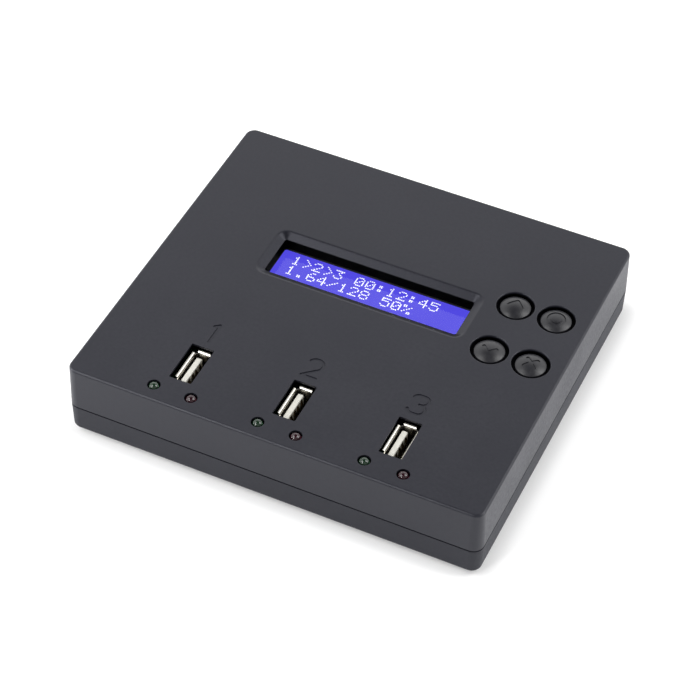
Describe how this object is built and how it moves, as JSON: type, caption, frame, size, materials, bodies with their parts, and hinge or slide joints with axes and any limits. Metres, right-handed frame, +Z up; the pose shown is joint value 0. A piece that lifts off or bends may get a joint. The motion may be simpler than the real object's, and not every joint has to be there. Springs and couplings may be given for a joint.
{
  "type": "usb flash drive duplicator",
  "caption": "Flat square desk unit with upright plug sockets along its front edge, a sunk two-line display, round push buttons and small lamps.",
  "frame": {"origin": "middle of the bounding box, on the plane that the feet stand on", "axes": "+X to the right along the socket row, +Y to the back, +Z up"},
  "size_m": [0.136, 0.124, 0.0272],
  "materials": {
    "case_plastic": "fine-grained black moulding",
    "foot_rubber": "matt black rubber",
    "screw_steel": "zinc-plated steel",
    "board": "green solder mask over glass-epoxy",
    "chip": "black moulded package",
    "lead_metal": "tinned",
    "can": "drawn can",
    "socket_steel": "nickel-plated sheet",
    "socket_white": "white glass-filled moulding",
    "gold": "gold-flashed contact",
    "lamp_green": "tinted clear",
    "lamp_red": "tinted clear",
    "spacer": "black nylon",
    "button": "satin black moulding",
    "switch_plastic": "black moulding",
    "spring_steel": "bright spring steel",
    "bezel": "black painted sheet",
    "front_glass": "polarised glass",
    "rear_glass": "blue-lit glass",
    "backlight": "milky diffuser",
    "zebra": "silicone strip",
    "resin": "black resin",
    "nylon": "natural nylon"
  },
  "bodies": {
    "case": {"board_screws": "screw_steel", "bottom_cover": "case_plastic", "capacitors": "can", "case_screws": "screw_steel", "chip_leads": "lead_metal", "controller_chip": "chip", "crystal": "can", "display_backlight": "backlight", "display_bezel": "bezel", "display_blobs": "resin", "display_board": "board", "display_front_glass": "front_glass", "display_rear_glass": "rear_glass", "display_supports": "nylon", "green_lamp_1": "lamp_green", "green_lamp_2": "lamp_green", "green_lamp_3": "lamp_green", "header_pins": "gold", "header_strip": "switch_plastic", "inlet_housing": "switch_plastic", "inlet_pin": "spring_steel", "inlet_terminals": "lead_metal", "lamp_leads": "lead_metal", "lamp_spacers": "spacer", "main_board": "board", "memory_chip": "chip", "red_lamp_1": "lamp_red", "red_lamp_2": "lamp_red", "red_lamp_3": "lamp_red", "rubber_feet": "foot_rubber", "socket_contacts_1": "gold", "socket_contacts_2": "gold", "socket_contacts_3": "gold", "socket_insulator_1": "socket_white", "socket_insulator_2": "socket_white", "socket_insulator_3": "socket_white", "socket_shell_1": "socket_steel", "socket_shell_2": "socket_steel", "socket_shell_3": "socket_steel", "switch_body_cancel": "switch_plastic", "switch_body_down": "switch_plastic", "switch_body_select": "switch_plastic", "switch_body_up": "switch_plastic", "switch_dome_cancel": "spring_steel", "switch_dome_down": "spring_steel", "switch_dome_select": "spring_steel", "switch_dome_up": "spring_steel", "switch_steel_covers": "spring_steel", "switch_terminals": "lead_metal", "top_cover": "case_plastic", "zebra_strips": "zebra"},
    "button_up": {"button_cap_up": "button", "switch_plunger_up": "switch_plastic"},
    "button_select": {"button_cap_select": "button", "switch_plunger_select": "switch_plastic"},
    "button_down": {"button_cap_down": "button", "switch_plunger_down": "switch_plastic"},
    "button_cancel": {"button_cap_cancel": "button", "switch_plunger_cancel": "switch_plastic"}
  },
  "joints": [
    {"name": "press_up", "type": "slide", "parent": "case", "child": "button_up", "axis": [0, 0, -1], "range_m": [0, 0.0003], "stiffness_N_per_m": 4000, "springref_m": -0.0001, "deforming": ["switch_dome_up"]},
    {"name": "press_select", "type": "slide", "parent": "case", "child": "button_select", "axis": [0, 0, -1], "range_m": [0, 0.0003], "stiffness_N_per_m": 4000, "springref_m": -0.0001, "deforming": ["switch_dome_select"]},
    {"name": "press_down", "type": "slide", "parent": "case", "child": "button_down", "axis": [0, 0, -1], "range_m": [0, 0.0003], "stiffness_N_per_m": 4000, "springref_m": -0.0001, "deforming": ["switch_dome_down"]},
    {"name": "press_cancel", "type": "slide", "parent": "case", "child": "button_cancel", "axis": [0, 0, -1], "range_m": [0, 0.0003], "stiffness_N_per_m": 4000, "springref_m": -0.0001, "deforming": ["switch_dome_cancel"]}
  ]
}
